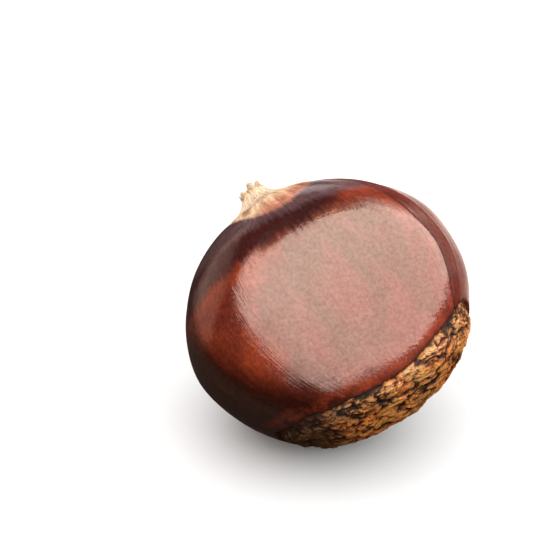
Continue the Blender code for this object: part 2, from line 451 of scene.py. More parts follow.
def tubes_mesh(name, paths, radii, sides):
    """One mesh of thin tapered tubes: paths is tubes by points by 3, radii is tubes by points."""
    count, steps = radii.shape
    tangent = unit(np.gradient(paths, axis=1))
    helper = np.where(np.abs(tangent[..., 2:3]) < 0.9, AXIS, SIDEWAYS)
    first = unit(np.cross(tangent, helper))
    second = np.cross(tangent, first)
    turn = np.linspace(0, FULL_TURN, sides, endpoint=False)
    circle = np.cos(turn)[:, None] * first[..., None, :] + np.sin(turn)[:, None] * second[..., None, :]
    points = (paths[..., None, :] + circle * radii[..., None, None]).reshape(-1, 3)
    one = grid_faces(steps, sides, wraps=True)
    faces = (one[None] + (np.arange(count) * steps * sides)[:, None, None]).reshape(-1, 4)
    mesh = mesh_of(name, placed(points), faces)
    store(mesh, "nut", points / MM)
    return mesh


def on_flare(angle, off):
    """Points of the shell by angle and by distance from the tip's axis, with their normals."""
    along = np.arccos(np.clip(off / HALF_WIDTH, 1e-4, 1.0) ** (1 / TIP_BLUNTNESS))
    surface = form(angle, along)
    round_axis, to_tip = form(angle + NUDGE, along) - surface, form(angle, along + NUDGE) - surface
    return surface, unit(np.cross(round_axis, to_tip))


def taller(angle):
    """The most that a strand reaches further on the tuft's tall side."""
    return TALL_BY * np.maximum(np.cos(angle - TALL_SIDE), 0.0)


STRANDS = 640
STRAND_SIDES = 5
# The climb up the flare: its points, where it starts and where it leaves the shell, off the axis.
CLIMB_STEPS = 9
CLIMB_START = (1.9 * MM, 6.5 * MM)
CLIMB_END = (0.65 * MM, 1.50 * MM)
# Strands start nearer the tip on the flat side and the back than on the ridges.
CLIMB_START_SHARE = 0.72
CLIMB_RIDGE_SHARE = 0.28
CLIMB_SWAY = 0.16
CLIMB_DRIFT = 0.10
CLIMB_LIFT = 0.13 * MM
CLIMB_LIFT_AT_START = 0.25
# The free end over the tip.
FREE_STEPS = 6
FREE_LENGTH = (0.0 * MM, 0.22 * MM)
FREE_LEAN = math.radians(15)
FREE_BEND = 1.6
# Clumps of longer strands: how wide they are, how uneven, and how much longer.
CLUMP_SPACING = 1.45 * MM
CLUMP_UNEVENNESS = 0.25
CLUMP_EDGE = -0.2
CLUMP_BY = 0.95 * MM
STRAND_WAVE = 0.12 * MM
STRAND_WAVES = (5, 12)
STRAND_RADIUS = (0.060 * MM, 0.160 * MM)
STRAND_ROOT_SHARE = 0.25
STRAND_END_SHARE = 0.25


def clumps(ends):
    """How much longer the strands are that end in a clump."""
    uneven = CLUMP_UNEVENNESS * sample(noise.noise, ends / CLUMP_SPACING)
    turn = (ends[:, 0] - tip_top()[0]) / CLUMP_SPACING + uneven
    return CLUMP_BY * smooth_step(np.cos(FULL_TURN * turn), CLUMP_EDGE, 1.0)


def climbs(rng):
    """Paths up the flare to the stub, with their angles round the axis."""
    angle = rng.uniform(0, FULL_TURN, STRANDS)
    ridgeward = CLIMB_START_SHARE + CLIMB_RIDGE_SHARE * np.cos(angle) ** 2
    start = rng.uniform(*CLIMB_START, STRANDS) * ridgeward
    end = rng.uniform(*CLIMB_END, STRANDS)
    t = np.linspace(0, 1, CLIMB_STEPS)
    off = start[:, None] + (end - start)[:, None] * t
    sway = rng.normal(0, CLIMB_SWAY, STRANDS)[:, None] * np.sin(math.pi * t)
    sway = sway + rng.normal(0, CLIMB_DRIFT, STRANDS)[:, None] * t
    surface, normal = on_flare(angle[:, None] + sway, off)
    lift = (CLIMB_LIFT * rng.uniform(0.2, 1.0, STRANDS))[:, None] * (CLIMB_LIFT_AT_START + t)
    return surface + normal * lift[..., None], angle


def free_ends(rng, climb, angle):
    """Where each strand goes on from its climb, bending from its own heading to a lean outward."""
    tall = taller(angle) * rng.uniform(0.3, 1.0, STRANDS)
    free = rng.uniform(*FREE_LENGTH, STRANDS) + tall + clumps(climb[:, -1])
    heading = unit(climb[:, -1] - climb[:, -2])
    lean = (FREE_LEAN * rng.uniform(-0.4, 1.0, STRANDS))[:, None]
    rise = AXIS * np.cos(lean) + spoke(angle) * np.sin(lean)
    u = np.linspace(0, 1, FREE_STEPS + 1)[1:]
    bend = np.minimum(u * FREE_BEND, 1.0)[None, :, None]
    direction = heading[:, None, :] * (1 - bend) + rise[:, None, :] * bend
    steps = direction * (free / FREE_STEPS)[:, None, None]
    return climb[:, -1:] + np.cumsum(steps, axis=1)


def strands_mesh(rng):
    """Strands that climb the flare to the stub and then stand free of it."""
    climb, angle = climbs(rng)
    paths = np.concatenate([climb, free_ends(rng, climb, angle)], axis=1)
    whole = np.linspace(0, 1, paths.shape[1])
    phase = rng.uniform(0, FULL_TURN, (STRANDS, 1, 3))
    wave = np.sin(phase + whole[None, :, None] * rng.uniform(*STRAND_WAVES, (STRANDS, 1, 3)))
    paths = paths + wave * (STRAND_WAVE * whole)[None, :, None]
    thick = rng.uniform(*STRAND_RADIUS, STRANDS)[:, None]
    swell = np.sin(math.pi * np.minimum(whole * 0.72 + 0.08, 1.0))
    radii = thick * (STRAND_ROOT_SHARE + (1 - STRAND_ROOT_SHARE) * swell)
    radii = radii * (1.0 - (1 - STRAND_END_SHARE) * whole**5)
    return tubes_mesh("strands", paths, radii, STRAND_SIDES)


# The styles and the loose fibres, which rise from the stub. Their roots are sunk in it.
STUB_SINK = 0.7 * MM
STUB_ROUNDING = 0.5 * MM
TILT_SPREAD = 0.10
HEADING_SPREAD = 0.35
CURLS = (4, 9)
STYLE = SimpleNamespace(
    name="styles", count=60, steps=8, sides=6,
    length=(0.0 * MM, 0.25 * MM), radius=(0.12 * MM, 0.24 * MM),
    spread=1.15 * MM, lean=math.radians(16), wave=0.09 * MM,
)
FIBRE = SimpleNamespace(
    name="fibres", count=700, steps=7, sides=3,
    length=(0.0 * MM, 0.35 * MM), radius=(0.022 * MM, 0.055 * MM),
    spread=1.3 * MM, lean=math.radians(24), wave=0.16 * MM,
)
END_SHARE = 0.3


def rising_paths(rng, kind):
    """Paths that rise from the stub's top and lean out with their distance from its middle."""
    angle = rng.uniform(0, FULL_TURN, kind.count)
    out = np.sqrt(rng.uniform(0, 1, kind.count))
    tall = taller(angle) * out * rng.uniform(0.2, 1.0, kind.count)
    size = rng.uniform(*kind.length, kind.count) + tall
    tilt = kind.lean * out * rng.uniform(0.5, 1.2, kind.count) + rng.normal(0, TILT_SPREAD, kind.count)
    heading = angle + rng.normal(0, HEADING_SPREAD, kind.count)
    t = np.linspace(0, 1, kind.steps)
    sunk = STUB_SINK + STUB_ROUNDING * out**2
    root = tip_top() + spoke(angle) * (out * kind.spread)[:, None] - AXIS * sunk[:, None]
    bend = tilt[:, None] * (0.6 + 0.6 * t)
    reach = (size[:, None] + STUB_SINK) * t
    paths = root[:, None, :] + spoke(heading)[:, None, :] * (reach * np.sin(bend))[..., None]
    paths = paths + AXIS * (reach * np.cos(bend))[..., None]
    phase = rng.uniform(0, FULL_TURN, (kind.count, 3))
    curl = np.sin(phase[:, None, :] + t[None, :, None] * rng.uniform(*CURLS, (kind.count, 1, 3)))
    return paths + curl * (kind.wave * t**1.5)[None, :, None]


def rising_mesh(rng, kind):
    """Tubes along such paths, tapered to a share of their radius."""
    paths = rising_paths(rng, kind)
    t = np.linspace(0, 1, kind.steps)
    full = rng.uniform(*kind.radius, kind.count)
    radii = full[:, None] * (1 - (1 - END_SHARE) * t[None, :] ** 1.5)
    return tubes_mesh(kind.name, paths, radii, kind.sides)


DOWN = 6500
DOWN_STEPS = 6
DOWN_SIDES = 3
DOWN_LENGTH = (0.7 * MM, 3.2 * MM)
DOWN_RADIUS = (0.018 * MM, 0.120 * MM)
DOWN_REACH = 9.8 * MM
# How much less far the down reaches on the side where the pale cap ends sooner.
DOWN_SHORT_SIDE = 0.42
DOWN_NEAREST = 0.25 * MM
DOWN_LIFT = 0.22 * MM
DOWN_SWIRL = 0.12


def down_mesh(rng):
    """Hairs that lie on the flare and point at the tip, fewer and finer with their distance from it."""
    angle = rng.uniform(0, FULL_TURN, DOWN)
    share = rng.uniform(0.04, 1, DOWN) ** 0.9
    off = DOWN_REACH * share * rng.uniform(0.9, 1.0, DOWN)
    off = off * (1 - DOWN_SHORT_SIDE * np.maximum(np.cos(angle), 0) ** 2)
    size = rng.uniform(*DOWN_LENGTH, DOWN) * (0.5 + 0.5 * share)
    t = np.linspace(0, 1, DOWN_STEPS)
    off_path = np.maximum(off[:, None] - size[:, None] * t, DOWN_NEAREST)
    swirl = DOWN_SWIRL * rng.normal(0, 1, DOWN)[:, None] * t
    surface, normal = on_flare(angle[:, None] + swirl, off_path)
    lift = DOWN_LIFT * rng.uniform(0.15, 1.0, DOWN) * (1.15 - 0.8 * share)
    paths = surface + normal * (lift[:, None] * np.sin(0.5 * math.pi * t))[..., None]
    thin, thick = DOWN_RADIUS
    full = (thin + (thick - thin) * rng.uniform(0, 1, DOWN) ** 4) * (1.1 - 0.5 * share)
    radii = full[:, None] * np.minimum(0.2 + 3.0 * t, 1.0) * (1 - 0.7 * t**2)
    return tubes_mesh("down", paths, radii, DOWN_SIDES)


def tuft_meshes():
    """The strands, the styles, the loose fibres and the down, each as one mesh."""
    rng = np.random.default_rng(SEED)
    return strands_mesh(rng), rising_mesh(rng, STYLE), rising_mesh(rng, FIBRE), down_mesh(rng)


# Parts of materials.


def new_material(name):
    """A material, its node tree and its Principled surface."""
    material = bpy.data.materials.new(name)
    material.use_nodes = True
    tree = material.node_tree
    return material, tree, tree.nodes["Principled BSDF"]


def set_inputs(made, inputs):
    """Gives a node its inputs, which are sockets to link or values to set."""
    for key, value in inputs.items():
        if isinstance(value, bpy.types.NodeSocket):
            made.id_data.links.new(value, made.inputs[key])
        else:
            made.inputs[key].default_value = value


def node(tree, kind, inputs=None, **settings):
    """A node with its settings and inputs."""
    made = tree.nodes.new(kind)
    for name, value in settings.items():
        setattr(made, name, value)
    set_inputs(made, inputs or {})
    return made


def opaque(colour):
    """A colour with full alpha; a socket stays as it is."""
    return (*colour, 1.0) if isinstance(colour, tuple) else colour


def ramp(tree, factor, stops):
    """A colour ramp through (position, colour) stops."""
    made = node(tree, "ShaderNodeValToRGB", {"Fac": factor})
    elements = made.color_ramp.elements
    while len(elements) < len(stops):
        elements.new(0.5)
    for element, (position, colour) in zip(elements, stops):
        element.position = position
        element.color = opaque(colour)
    return made.outputs["Color"]


def mix(tree, factor, first, second, blend="MIX"):
    """One colour over another by a factor."""
    inputs = {0: factor, 6: opaque(first), 7: opaque(second)}
    return node(tree, "ShaderNodeMix", inputs, data_type="RGBA", blend_type=blend).outputs[2]


def math_node(tree, operation, first, second=0.0):
    """A sum, product or the like of two numbers."""
    return node(tree, "ShaderNodeMath", {0: first, 1: second}, operation=operation).outputs[0]


def add(tree, first, second):
    """A sum."""
    return math_node(tree, "ADD", first, second)


def less(tree, first, second):
    """A difference."""
    return math_node(tree, "SUBTRACT", first, second)


def times(tree, first, second):
    """A product."""
    return math_node(tree, "MULTIPLY", first, second)


def squared(tree, value):
    """A number times itself."""
    return math_node(tree, "POWER", value, 2.0)


def unless(tree, value, share=1.0):
    """What a share of a value leaves of 1."""
    return less(tree, 1.0, value if share == 1.0 else times(tree, value, share))


def between(tree, value, low, high):
    """0 below low, 1 above high, smooth between."""
    inputs = {"Value": value, "From Min": low, "From Max": high}
    return node(tree, "ShaderNodeMapRange", inputs, interpolation_type="SMOOTHSTEP").outputs["Result"]


def fading(tree, value, low, high):
    """1 below low, 0 above high, smooth between."""
    return unless(tree, between(tree, value, low, high))


def window(tree, value, opens, closes):
    """0 outside a window, 1 inside; opens and closes are where it changes at each side."""
    return times(tree, between(tree, value, *opens), fading(tree, value, *closes))


def straight(tree, value, low, high):
    """0 at low, 1 at high, straight between."""
    inputs = {"Value": value, "From Min": low, "From Max": high}
    return node(tree, "ShaderNodeMapRange", inputs).outputs["Result"]


def noise_at(tree, vector, scale, detail=3.0, roughness=0.6, distortion=0.0):
    """A noise's value at a vector that is first stretched by scale, one number or three."""
    scale = scale if isinstance(scale, tuple) else (scale, scale, scale)
    stretched = node(tree, "ShaderNodeVectorMath", {0: vector, 1: scale}, operation="MULTIPLY").outputs[0]
    inputs = {"Vector": stretched, "Scale": 1.0, "Detail": detail}
    inputs.update({"Roughness": roughness, "Distortion": distortion})
    return node(tree, "ShaderNodeTexNoise", inputs).outputs["Fac"]


def spread(tree, value, size):
    """A noise's value, about 0.5, as a swing of this size to both sides of 0."""
    return times(tree, less(tree, value, 0.5), 2.0 * size)


def attribute(tree, name, output="Fac"):
    """A number or vector that the mesh keeps for each vertex."""
    return node(tree, "ShaderNodeAttribute", attribute_name=name).outputs[output]


def object_place(tree):
    """The place on the object, in metres."""
    return node(tree, "ShaderNodeTexCoord").outputs["Object"]


def nut_axes(tree):
    """Across, depth and height in the nut's own frame, in millimetres."""
    split = node(tree, "ShaderNodeSeparateXYZ", {0: attribute(tree, "nut", "Vector")})
    return [split.outputs[axis] for axis in "XYZ"]


def bump(tree, height, distance, strength, normal=None):
    """A bump of that height, in metres, over an earlier one."""
    inputs = {"Height": height, "Distance": distance, "Strength": strength}
    if normal is not None:
        inputs["Normal"] = normal
    return node(tree, "ShaderNodeBump", inputs).outputs["Normal"]


# The shell's colours, as light comes back from them without the polish.
MAHOGANY = (0.085, 0.011, 0.006)
CHESTNUT_RED = (0.225, 0.032, 0.010)
FACE_PINK = (0.188, 0.032, 0.018)
FACE_OLIVE = (0.138, 0.048, 0.026)
# A painted dark reflection for the band below the tip.
PAINTED_DARK_REFLECTION = (0.021, 0.0040, 0.0045)
# Painted shade low down on the left: brown towards the back, dark red towards the flat side.
PAINTED_SHADE_BROWN = (0.036, 0.018, 0.013)
PAINTED_SHADE_RED = (0.024, 0.0045, 0.0025)
# A painted reflection: the mauve veil below the pale cap, which is also the cap's first colour.
PAINTED_MAUVE_REFLECTION = (0.075, 0.036, 0.038)
SALMON = (0.330, 0.125, 0.075)
PALE_SALMON = (0.380, 0.175, 0.105)
CREAM = (0.560, 0.380, 0.230)
SCAR_GLOW = (0.32, 0.042, 0.015)
SCAR_RIM = (0.050, 0.014, 0.008)
PATCH_STOPS = ((0.36, MAHOGANY), (0.62, CHESTNUT_RED))
FACE_STOPS = ((0.37, FACE_OLIVE), (0.67, FACE_PINK))
CAP_STOPS = ((0.0, PAINTED_MAUVE_REFLECTION), (0.30, SALMON), (0.60, PALE_SALMON), (1.0, CREAM))
# Painted shade at the ridge's groove, rising to a painted pink reflection past its welt.
RIDGE_SHADE_AND_REFLECTION_STOPS = (
    (0.03, (0.030, 0.006, 0.009)),
    (0.16, (0.085, 0.014, 0.010)),
    (0.45, (0.105, 0.020, 0.014)),
    (0.80, (0.22, 0.078, 0.060)),
)
STRIPE_STOPS = ((0.36, (0.52, 0.42, 0.36)), (0.62, (1.28, 1.34, 1.40)))
FLECK_STOPS = ((0.35, (0.70, 0.68, 0.68)), (0.65, (1.30, 1.34, 1.32)))
LINE_STOPS = ((0.3, (0.80, 0.78, 0.78)), (0.7, (1.20, 1.24, 1.24)))

# Where the shell changes colour, in millimetres of the nut's own frame, or degrees past the ridge's first
# line. A pair is where a change starts and where it ends, apart from three that are across and up: the
# middle and the radii of the flat side's oval, and the slopes of the dark low down.
FACE_MIDDLE = (-2.4, -4.0)
FACE_RADII = (13.0, 10.5)
FACE_BORDER = (0.55, 1.15)
FACE_DEPTHS = (3.0, 6.0)
FACE_TONE_LEVEL = -2.0
FACE_TONE_SLOPE = -0.017
# BAND_FROM and BAND_LEFT_OF place the painted dark reflection below the tip.
BAND_FROM = (5.0, 7.0)
BAND_LEFT_OF = (-9.0, -5.0)
# LOW_SLOPES and the LOW_ pairs after it place the painted shade low down on the left.
LOW_SLOPES = (0.15, -0.2)
LOW_FROM = (-4.2, -1.0)
LOW_LEFT_OF = (-2.0, 6.0)
LOW_UP_TO = (2.0, 9.0)
LOW_REDDENS = (2.5, 5.0)
# VEIL_FROM and VEIL_SLOPE place the mauve veil of painted reflection.
VEIL_FROM = (7.9, 9.1)
VEIL_SLOPE = -0.13
CAP_FROM = (8.9, 9.9)
CAP_STRIPED_FROM = (9.6, 10.6)
CAP_TONES = (9.0, 12.2)
CAP_MIDDLE = -0.5
CAP_ROUNDING = 0.055
CAP_LEFT_OF = 0.3
CAP_LEFT_ROUNDING = 0.07
CAP_EDGE_LEFT_OF = (0.8, 2.5)
CAP_EDGE_DEPTHS = (1.0, 2.8)
CAP_EDGE_BY = 1.1
CAP_PALER_LEFT_OF = (0.5, 3.5)
CAP_PALER_BY = 2.2
CAP_RIDGE_RIGHT_OF = (-2.8, -4.6)
CAP_RIDGE_DEPTHS = (2.0, 4.0)
CAP_RIDGE_BY = 1.8
GLOW_REACH = (0.6, 3.6)
RIM_REACH = (0.1, 0.9)
GLOW_GRAIN = (0.42, 0.62)
# Where the painted shade and painted reflection beside the ridge start and end.
RIDGE_LINES_FROM = (-0.6, 0.6)
RIDGE_LINES_TO = (16.0, 24.0)


def paleness(tree, at):
    """How far up the pale cap a place is: its height in millimetres, less away from the cap's middle."""
    off_middle = squared(tree, add(tree, at.across, -CAP_MIDDLE))
    leftward = squared(tree, math_node(tree, "MAXIMUM", add(tree, at.across, -CAP_LEFT_OF), 0.0))
    at_edge = between(tree, at.across, *CAP_EDGE_LEFT_OF)
    at_edge = times(tree, at_edge, fading(tree, at.depth, *CAP_EDGE_DEPTHS))
    pale = add(tree, at.height, times(tree, off_middle, -CAP_ROUNDING))
    pale = add(tree, pale, spread(tree, at.streaks, 0.5))
    pale = add(tree, pale, times(tree, leftward, -CAP_LEFT_ROUNDING))
    return add(tree, pale, times(tree, at_edge, CAP_EDGE_BY))


def shell_fields(tree):
    """The numbers over the shell that its colour, its polish and its relief are made from."""
    at = SimpleNamespace()
    at.across, at.depth, at.height = nut_axes(tree)
    nut = attribute(tree, "nut", "Vector")
    track = attribute(tree, "track", "Vector")
    place = object_place(tree)
    at.clouds = noise_at(tree, nut, (0.20, 0.20, 0.10), roughness=0.5, distortion=0.6)
    at.blotches = noise_at(tree, nut, (0.75, 0.75, 0.45), distortion=0.5)
    at.streaks = noise_at(tree, track, (24.0, 24.0, 3.0), detail=4.0)
    at.stripes = noise_at(tree, track, (11.0, 11.0, 5.0))
    at.hairlines = noise_at(tree, track, (75.0, 75.0, 9.0), distortion=0.3)
    at.patches = noise_at(tree, place, 150.0, detail=4.0, roughness=0.65)
    at.dimples = noise_at(tree, place, 620.0)
    at.flecks = noise_at(tree, place, 2300.0, detail=2.0)
    at.from_scar = attribute(tree, "from_scar")
    at.past = add(tree, attribute(tree, "past_ridge"), spread(tree, at.streaks, 0.8))
    at.upper = add(tree, at.height, spread(tree, at.streaks, 1.4))
    at.paleness = paleness(tree, at)
    return at


def face_over(tree, at, colour):
    """The flat side's mottle, from olive to pink."""
    wide, tall = (
        squared(tree, math_node(tree, "DIVIDE", add(tree, value, -middle), radius))
        for value, middle, radius in zip((at.across, at.height), FACE_MIDDLE, FACE_RADII)
    )
    off_face = add(tree, add(tree, wide, tall), spread(tree, at.streaks, 0.5))
    on_face = times(tree, fading(tree, off_face, *FACE_BORDER), between(tree, at.depth, *FACE_DEPTHS))
    tone = add(tree, at.clouds, times(tree, add(tree, at.height, -FACE_TONE_LEVEL), FACE_TONE_SLOPE))
    return mix(tree, on_face, colour, ramp(tree, tone, FACE_STOPS))


def painted_shade_over(tree, at, colour):
    """The band below the tip, a painted dark reflection, and painted shade low down on the left."""
    # The band below the tip paints a dark reflection into the colour.
    band = times(tree, between(tree, at.upper, *BAND_FROM), between(tree, at.across, *BAND_LEFT_OF))
    colour = mix(tree, times(tree, band, 0.92), colour, PAINTED_DARK_REFLECTION)
    # Painted shade low down on the left, on the side turned from the light.
    by_across, by_height = LOW_SLOPES
    low = add(tree, times(tree, at.height, by_height), times(tree, at.across, by_across))
    low = less(tree, add(tree, low, spread(tree, at.streaks, 1.2)), at.depth)
    low = times(tree, between(tree, low, *LOW_FROM), between(tree, at.across, *LOW_LEFT_OF))
    low = times(tree, low, fading(tree, at.height, *LOW_UP_TO))
    dark = mix(tree, between(tree, at.depth, *LOW_REDDENS), PAINTED_SHADE_BROWN, PAINTED_SHADE_RED)
    return mix(tree, times(tree, low, 0.95), colour, dark)


def cap_over(tree, at, colour):
    """A mauve veil of painted reflection, then the striped pale cap round the tip, palest on the left and
    along the ridge.
    """
    # The veil paints a mauve reflection over the colour.
    veil = add(tree, at.height, times(tree, at.across, VEIL_SLOPE))
    veil = add(tree, veil, spread(tree, at.streaks, 0.9))
    colour = mix(tree, times(tree, between(tree, veil, *VEIL_FROM), 0.9), colour, PAINTED_MAUVE_REFLECTION)
    on_left = between(tree, at.across, *CAP_PALER_LEFT_OF)
    on_ridge = between(tree, at.across, *CAP_RIDGE_RIGHT_OF)
    on_ridge = times(tree, on_ridge, fading(tree, at.depth, *CAP_RIDGE_DEPTHS))
    toned = add(tree, at.paleness, times(tree, on_left, CAP_PALER_BY))
    toned = add(tree, toned, times(tree, on_ridge, CAP_RIDGE_BY))
    cap = ramp(tree, straight(tree, toned, *CAP_TONES), CAP_STOPS)
    striped = between(tree, at.paleness, *CAP_STRIPED_FROM)
    cap = mix(tree, striped, cap, ramp(tree, at.stripes, STRIPE_STOPS), "MULTIPLY")
    return mix(tree, between(tree, at.paleness, *CAP_FROM), colour, cap)


def edges_over(tree, at, colour):
    """A red glow and a dark rim beside the scar, and painted shade and a painted reflection in lines
    beside the ridge.
    """
    glow = times(tree, fading(tree, at.from_scar, *GLOW_REACH), between(tree, at.dimples, *GLOW_GRAIN))
    colour = mix(tree, times(tree, glow, 0.42), colour, SCAR_GLOW)
    rim = fading(tree, at.from_scar, *RIM_REACH)
    colour = mix(tree, times(tree, rim, 0.65), colour, SCAR_RIM)
    # The lines beside the ridge are painted shade by the groove and a painted reflection past the welt.
    lines = window(tree, at.past, RIDGE_LINES_FROM, RIDGE_LINES_TO)
    ridge = ramp(tree, straight(tree, at.past, 0.0, RIDGE_LINES_TO[0]), RIDGE_SHADE_AND_REFLECTION_STOPS)
    return mix(tree, times(tree, lines, 0.85), colour, ridge)


def shell_colour(tree, at):
    """Red over most of the shell, with the other colours over it and a fine grain over all."""
    colour = ramp(tree, at.patches, PATCH_STOPS)
    for over in (face_over, painted_shade_over, cap_over, edges_over):
        colour = over(tree, at, colour)
    colour = mix(tree, 0.6, colour, ramp(tree, at.flecks, FLECK_STOPS), "MULTIPLY")
    return mix(tree, 0.6, colour, ramp(tree, at.hairlines, LINE_STOPS), "MULTIPLY")


# The polish: how thick it is, how much that varies, and where it is dull, with the share that is missing.
POLISH = 0.78
POLISH_BY_CLOUDS = 0.16
POLISH_BY_BLOTCHES = 0.20
POLISH_BY_FLECKS = 0.26
POLISH_BY_HEIGHT = 0.22
POLISH_HEIGHTS = (-9.0, 4.0)
BARE_CAP = (9.2, 10.6)
DULL_BAND_FROM = (5.0, 6.6)
DULL_BAND_TO = (8.0, 9.4)
DULL_BAND_RIGHT_OF = (5.0, 9.0)
DULL_BAND = 0.80
DULL_CORNER_BELOW = (-3.0, 1.0)
DULL_CORNER_LEFT_OF = (6.0, 10.0)
DULL_CORNER = 0.16
DULL_LINES_FROM = (0.0, 1.5)
DULL_LINES_TO = (6.0, 12.0)
DULL_LINES_LOW = 0.88
DULL_LINES_LESS_HIGH = 0.4
DULL_LINES_HEIGHTS = (-1.5, 3.0)


def polish(tree, at):
    """How much polish is left on the shell."""
    wear = spread(tree, at.clouds, POLISH_BY_CLOUDS)
    wear = add(tree, wear, spread(tree, at.blotches, POLISH_BY_BLOTCHES))
    wear = add(tree, wear, spread(tree, at.flecks, POLISH_BY_FLECKS))
    wear = add(tree, wear, times(tree, between(tree, at.height, *POLISH_HEIGHTS), POLISH_BY_HEIGHT))
    coat = times(tree, fading(tree, at.paleness, *BARE_CAP), add(tree, POLISH, wear))
    band = window(tree, at.upper, DULL_BAND_FROM, DULL_BAND_TO)
    band = times(tree, band, fading(tree, at.across, *DULL_BAND_RIGHT_OF))
    coat = times(tree, coat, unless(tree, band, DULL_BAND))
    corner = fading(tree, at.height, *DULL_CORNER_BELOW)
    corner = times(tree, corner, between(tree, at.across, *DULL_CORNER_LEFT_OF))
    coat = times(tree, coat, unless(tree, corner, DULL_CORNER))
    high = between(tree, at.height, *DULL_LINES_HEIGHTS)
    dull = less(tree, DULL_LINES_LOW, times(tree, high, DULL_LINES_LESS_HIGH))
    lines = window(tree, at.past, DULL_LINES_FROM, DULL_LINES_TO)
    return times(tree, coat, unless(tree, times(tree, lines, dull)))


def shell_material():
    """Polished shell, with fine lines from base to tip and a grain like leather."""
    material, tree, surface = new_material("shell_polished")
    at = shell_fields(tree)
    roughness = node(tree, "ShaderNodeMapRange", {"Value": at.clouds, "To Min": 0.30, "To Max": 0.52})
    relief = bump(tree, at.dimples, 0.045 * MM, 0.8)
    relief = bump(tree, at.hairlines, 0.034 * MM, 0.8, relief)
    relief = bump(tree, at.flecks, 0.016 * MM, 0.7, relief)
    set_inputs(surface, {
        "Base Color": shell_colour(tree, at),
        "Roughness": roughness.outputs["Result"],
        "IOR": 1.5,
        "Specular IOR Level": 0.03,
        "Specular Tint": (1.0, 0.74, 0.62, 1.0),
        "Coat Weight": polish(tree, at),
        "Coat Roughness": 0.078,
        "Coat IOR": 1.5,
        "Normal": relief,
        "Coat Normal": relief,
    })
    return material


# The crust's colours, from the bottom of its creases to the top of its flakes, and the relief that they
# span, in millimetres.
# The low stops darken the creases: partly the crust's own dark, partly painted shade.
CRUST_CREASE_SHADE_STOPS = (
    (0.05, (0.012, 0.005, 0.003)),
    (0.26, (0.085, 0.030, 0.009)),
    (0.50, (0.430, 0.165, 0.040)),
    (0.76, (0.540, 0.225, 0.052)),
    (0.95, (0.640, 0.310, 0.085)),
)
CRUST_HEIGHTS = (-0.19, 0.42)
CRUST_HUES = ((0.38, (1.12, 0.76, 0.55)), (0.62, (0.92, 1.02, 1.05)))
CRUST_SPECKLE = ((0.35, (0.50, 0.47, 0.45)), (0.65, (1.40, 1.40, 1.40)))
CRUST_TORN = (0.78, 0.50, 0.27)
CRUST_TORN_HEIGHTS = (0.05, 0.25)
CRUST_TORN_FROM = (0.1, 0.6)
CRUST_TORN_TO = (1.0, 2.2)
# Painted shade over the crust's low end, which faces away from the light.
CRUST_PAINTED_SHADE = (0.030, 0.014, 0.007)
CRUST_PAINTED_SHADE_LEFT_OF = (4.5, 10.0)


def scar_material():
    """Rough golden ochre on the flakes, dark brown in the creases that is partly painted shade, and
    painted shade towards the low end.
    """
    material, tree, surface = new_material("scar_crust")
    across, _, _ = nut_axes(tree)
    place = object_place(tree)
    patches = noise_at(tree, place, 300.0)
    mottle = noise_at(tree, place, 1300.0, roughness=0.65)
    grit = noise_at(tree, place, 3200.0, roughness=0.65)
    height = add(tree, attribute(tree, "relief"), spread(tree, mottle, 0.22))
    colour = ramp(tree, between(tree, height, *CRUST_HEIGHTS), CRUST_CREASE_SHADE_STOPS)
    colour = mix(tree, 0.8, colour, ramp(tree, patches, CRUST_HUES), "MULTIPLY")
    from_edge = add(tree, attribute(tree, "from_edge"), spread(tree, patches, 1.2))
    border = window(tree, from_edge, CRUST_TORN_FROM, CRUST_TORN_TO)
    torn = times(tree, border, between(tree, height, *CRUST_TORN_HEIGHTS))
    colour = mix(tree, times(tree, torn, 0.45), colour, CRUST_TORN)
    colour = mix(tree, 0.75, colour, ramp(tree, grit, CRUST_SPECKLE), "MULTIPLY")
    # Painted shade towards the crust's low end.
    low = between(tree, add(tree, across, spread(tree, patches, 3.0)), *CRUST_PAINTED_SHADE_LEFT_OF)
    set_inputs(surface, {
        "Base Color": mix(tree, times(tree, low, 0.90), colour, CRUST_PAINTED_SHADE),
        "Roughness": 0.6,
        "Specular IOR Level": 0.15,
        "Normal": bump(tree, grit, 0.10 * MM, 0.6),
    })
    return material


FIBRE_STOPS = ((0.30, (0.50, 0.34, 0.19)), (0.58, (0.70, 0.52, 0.34)))
FIBRE_FOOT = (0.50, 0.26, 0.16)
FIBRE_FOOT_BELOW = (8.8, 10.2)


def tuft_material():
    """Dry cream fibre, darker where it thins out down the flare."""
    material, tree, surface = new_material("tuft_fibre")
    _, _, height = nut_axes(tree)
    colour = ramp(tree, noise_at(tree, object_place(tree), 1800.0, detail=2.0), FIBRE_STOPS)
    foot = times(tree, fading(tree, height, *FIBRE_FOOT_BELOW), 0.7)
    set_inputs(surface, {
        "Base Color": mix(tree, foot, colour, FIBRE_FOOT),
        "Roughness": 0.65,
        "Specular IOR Level": 0.15,
        "Sheen Weight": 0.3,
    })
    return material


# The studio.
LIGHT_DISTANCE = 0.6
# Each lamp: its name, the direction it comes from, its sides, its brightness and its colour. The polish
# mirrors the cards, and not the soft lamps.
SOFT_LAMPS = (
    ("overhead", (0.22, 0.10, 1.0), (2.2, 2.2), 2.35, (1.0, 1.0, 1.0)),
    ("fill", (0.55, -0.75, 0.25), (0.50, 0.50), 1.6, (1.0, 0.96, 0.92)),
    ("low_left", (-0.80, -0.55, 0.20), (0.50, 0.50), 1.0, (1.0, 0.94, 0.88)),
)
MIRRORED_CARDS = (
    ("left_card", (-0.90, 0.36, 0.20), (0.60, 0.60), 0.95, (1.0, 0.66, 0.52)),
    ("back_card", (-0.15, 0.90, 0.40), (0.45, 0.30), 1.6, (1.0, 0.93, 0.93)),
)
